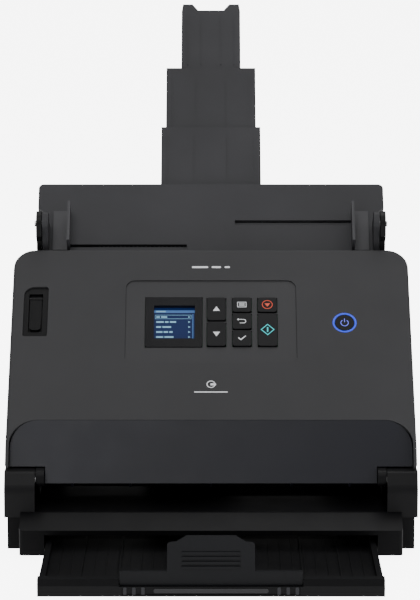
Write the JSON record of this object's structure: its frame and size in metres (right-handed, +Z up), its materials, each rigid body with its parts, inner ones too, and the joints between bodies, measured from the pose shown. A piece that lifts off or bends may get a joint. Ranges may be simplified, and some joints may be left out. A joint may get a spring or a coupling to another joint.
{
  "type": "sheet fed document scanner",
  "caption": "Compact black sheet fed document scanner with a tilted control panel, folding telescopic feed tray with side guides and a sliding eject tray with a flip up stopper.",
  "frame": {"origin": "centre of the overall box on the desk, with both trays out", "axes": "+X across the machine, +Y towards the back and the feed tray, +Z up"},
  "size_m": [0.291, 0.4557, 0.3607],
  "materials": {
    "casing_black": "fine textured black plastic",
    "base_black": "textured black plastic",
    "panel_matt": "fine matt charcoal",
    "fascia_dark": "satin blue black",
    "inset_gloss": "satin black",
    "key_black": "satin black",
    "ring_blue": "lit translucent ring",
    "tray_grey": "matt dark grey",
    "lever_black": "satin black",
    "inner_black": "matt black",
    "rubber": "matt",
    "steel": "plated",
    "glass": "clear",
    "board_green": "solder mask",
    "socket_black": "matt"
  },
  "bodies": {
    "main_unit": {"base_chassis": "base_black", "rubber_feet": "rubber", "front_sill": "casing_black", "side_cover_left": "casing_black", "side_cover_right": "casing_black", "rear_cover": "casing_black", "hopper_plate": "inner_black", "main_paper_guide": "inner_black", "side_frame_left": "steel", "side_frame_right": "steel", "rear_image_sensor": "inner_black", "rear_sensor_glass": "glass", "drive_motor": "steel", "drive_belt": "rubber", "main_board": "board_green", "power_inlet": "socket_black", "usb_socket": "socket_black", "hinge_pins": "steel", "case_screws": "steel"},
    "front_unit": {"front_cover": "panel_matt", "lower_fascia": "fascia_dark", "front_inner_guide": "inner_black", "control_plate": "inset_gloss", "screen_module": "inset_gloss", "key_board": "board_green", "power_ring": "ring_blue", "lever_bezel": "lever_black", "front_image_sensor": "inner_black", "front_sensor_glass": "glass"},
    "pickup_roller": {"pickup_shaft": "steel", "pickup_tyres": "rubber"},
    "feed_roller": {"feed_shaft": "steel", "feed_tyres": "rubber"},
    "transport_roller": {"transport_shaft": "steel", "transport_tyres": "rubber"},
    "eject_roller": {"eject_shaft": "steel", "eject_tyres": "rubber"},
    "motor_rotor": {"motor_pulley": "steel"},
    "retard_roller": {"retard_roller": "rubber"},
    "transport_pinch": {"transport_pinch": "rubber"},
    "eject_pinch": {"eject_pinch": "rubber"},
    "open_lever": {"open_lever": "lever_black"},
    "feed_tray": {"feed_tray_panel": "tray_grey", "feed_tray_back": "tray_grey"},
    "guide_left": {"guide_left": "tray_grey"},
    "guide_right": {"guide_right": "tray_grey"},
    "guide_pinion": {"guide_pinion": "tray_grey"},
    "tray_stage_1": {"tray_stage_1": "tray_grey"},
    "tray_stage_2": {"tray_stage_2": "tray_grey"},
    "tray_stage_3": {"tray_stage_3": "tray_grey"},
    "eject_tray": {"eject_tray": "casing_black"},
    "eject_stopper": {"eject_stopper": "casing_black"},
    "key_up": {"key_up": "key_black"},
    "key_down": {"key_down": "key_black"},
    "key_menu": {"key_menu": "key_black"},
    "key_back": {"key_back": "key_black"},
    "key_confirm": {"key_confirm": "key_black"},
    "key_stop": {"key_stop": "key_black"},
    "key_start": {"key_start": "key_black"},
    "power_key": {"power_key": "key_black"}
  },
  "joints": [
    {"name": "front_unit_open", "type": "hinge", "parent": "main_unit", "child": "front_unit", "pos_m": [0, -0.08485, 0.05], "axis": [-1, 0, 0], "range_deg": [-60, 0]},
    {"name": "feed_tray_fold", "type": "hinge", "parent": "main_unit", "child": "feed_tray", "pos_m": [0, 0.05981, 0.21075], "axis": [1, 0, 0], "range_deg": [0, 175]},
    {"name": "stage_1_slide", "type": "slide", "parent": "feed_tray", "child": "tray_stage_1", "axis": [0, 0.6639, 0.7478], "range_m": [-0.057, 0]},
    {"name": "stage_2_slide", "type": "slide", "parent": "tray_stage_1", "child": "tray_stage_2", "axis": [0, 0.6639, 0.7478], "range_m": [-0.057, 0]},
    {"name": "stage_3_slide", "type": "slide", "parent": "tray_stage_2", "child": "tray_stage_3", "axis": [0, 0.6639, 0.7478], "range_m": [-0.057, 0]},
    {"name": "guide_pinion_turn", "type": "hinge", "parent": "feed_tray", "child": "guide_pinion", "pos_m": [0, 0.07581, 0.19789], "axis": [0, -0.7478, 0.6639], "range_deg": [0, 573]},
    {"name": "guide_left_slide", "type": "slide", "parent": "feed_tray", "child": "guide_left", "axis": [1, 0, 0], "range_m": [0, 0.08]},
    {"name": "guide_right_slide", "type": "slide", "parent": "feed_tray", "child": "guide_right", "axis": [1, 0, 0], "range_m": [-0.08, 0]},
    {"name": "eject_tray_slide", "type": "slide", "parent": "main_unit", "child": "eject_tray", "axis": [0, 1, 0], "range_m": [0, 0.1]},
    {"name": "stopper_fold", "type": "hinge", "parent": "eject_tray", "child": "eject_stopper", "pos_m": [0, -0.22235, 0.0126], "axis": [-1, 0, 0], "range_deg": [0, 90]},
    {"name": "open_lever_pull", "type": "hinge", "parent": "front_unit", "child": "open_lever", "pos_m": [-0.128, 0.02056, 0.16056], "axis": [-1, 0, 0], "range_deg": [0, 12], "stiffness_Nm_per_rad": 0.05},
    {"name": "key_up_press", "type": "slide", "parent": "front_unit", "child": "key_up", "axis": [0, 0.6884, -0.7254], "range_m": [0, 0.0008], "stiffness_N_per_m": 2500},
    {"name": "key_down_press", "type": "slide", "parent": "front_unit", "child": "key_down", "axis": [0, 0.6884, -0.7254], "range_m": [0, 0.0008], "stiffness_N_per_m": 2500},
    {"name": "key_menu_press", "type": "slide", "parent": "front_unit", "child": "key_menu", "axis": [0, 0.6884, -0.7254], "range_m": [0, 0.0008], "stiffness_N_per_m": 2500},
    {"name": "key_back_press", "type": "slide", "parent": "front_unit", "child": "key_back", "axis": [0, 0.6884, -0.7254], "range_m": [0, 0.0008], "stiffness_N_per_m": 2500},
    {"name": "key_confirm_press", "type": "slide", "parent": "front_unit", "child": "key_confirm", "axis": [0, 0.6884, -0.7254], "range_m": [0, 0.0008], "stiffness_N_per_m": 2500},
    {"name": "key_stop_press", "type": "slide", "parent": "front_unit", "child": "key_stop", "axis": [0, 0.6884, -0.7254], "range_m": [0, 0.0008], "stiffness_N_per_m": 2500},
    {"name": "key_start_press", "type": "slide", "parent": "front_unit", "child": "key_start", "axis": [0, 0.6884, -0.7254], "range_m": [0, 0.0008], "stiffness_N_per_m": 2500},
    {"name": "power_key_press", "type": "slide", "parent": "front_unit", "child": "power_key", "axis": [0, 0.6884, -0.7254], "range_m": [0, 0.0008], "stiffness_N_per_m": 2500},
    {"name": "transport_spin", "type": "hinge", "parent": "main_unit", "child": "transport_roller", "pos_m": [0, -0.01821, 0.09147], "axis": [1, 0, 0], "continuous": true},
    {"name": "pickup_spin", "type": "hinge", "parent": "main_unit", "child": "pickup_roller", "pos_m": [0, 0.01432, 0.12811], "axis": [1, 0, 0], "continuous": true},
    {"name": "feed_spin", "type": "hinge", "parent": "main_unit", "child": "feed_roller", "pos_m": [0, -0.0036, 0.10792], "axis": [1, 0, 0], "continuous": true},
    {"name": "eject_spin", "type": "hinge", "parent": "main_unit", "child": "eject_roller", "pos_m": [0, -0.04477, 0.06155], "axis": [1, 0, 0], "continuous": true},
    {"name": "motor_spin", "type": "hinge", "parent": "main_unit", "child": "motor_rotor", "pos_m": [0, 0.01275, 0.06933], "axis": [1, 0, 0], "continuous": true},
    {"name": "retard_roller_spin", "type": "hinge", "parent": "front_unit", "child": "retard_roller", "pos_m": [0, -0.0143, 0.11741], "axis": [1, 0, 0], "continuous": true},
    {"name": "transport_pinch_spin", "type": "hinge", "parent": "front_unit", "child": "transport_pinch", "pos_m": [0, -0.02816, 0.1003], "axis": [1, 0, 0], "continuous": true},
    {"name": "eject_pinch_spin", "type": "hinge", "parent": "front_unit", "child": "eject_pinch", "pos_m": [0, -0.05471, 0.07039], "axis": [1, 0, 0], "continuous": true}
  ],
  "couplings": [
    {"joint": "guide_pinion_turn", "follows": "guide_left_slide", "rad_per_m": 125},
    {"joint": "guide_right_slide", "follows": "guide_left_slide", "ratio": -1},
    {"joint": "pickup_spin", "follows": "transport_spin", "ratio": 1},
    {"joint": "feed_spin", "follows": "transport_spin", "ratio": 1},
    {"joint": "eject_spin", "follows": "transport_spin", "ratio": 1},
    {"joint": "motor_spin", "follows": "transport_spin", "ratio": 0.75},
    {"joint": "retard_roller_spin", "follows": "transport_spin", "ratio": -1.3333},
    {"joint": "transport_pinch_spin", "follows": "transport_spin", "ratio": -1.6},
    {"joint": "eject_pinch_spin", "follows": "transport_spin", "ratio": -1.6}
  ]
}
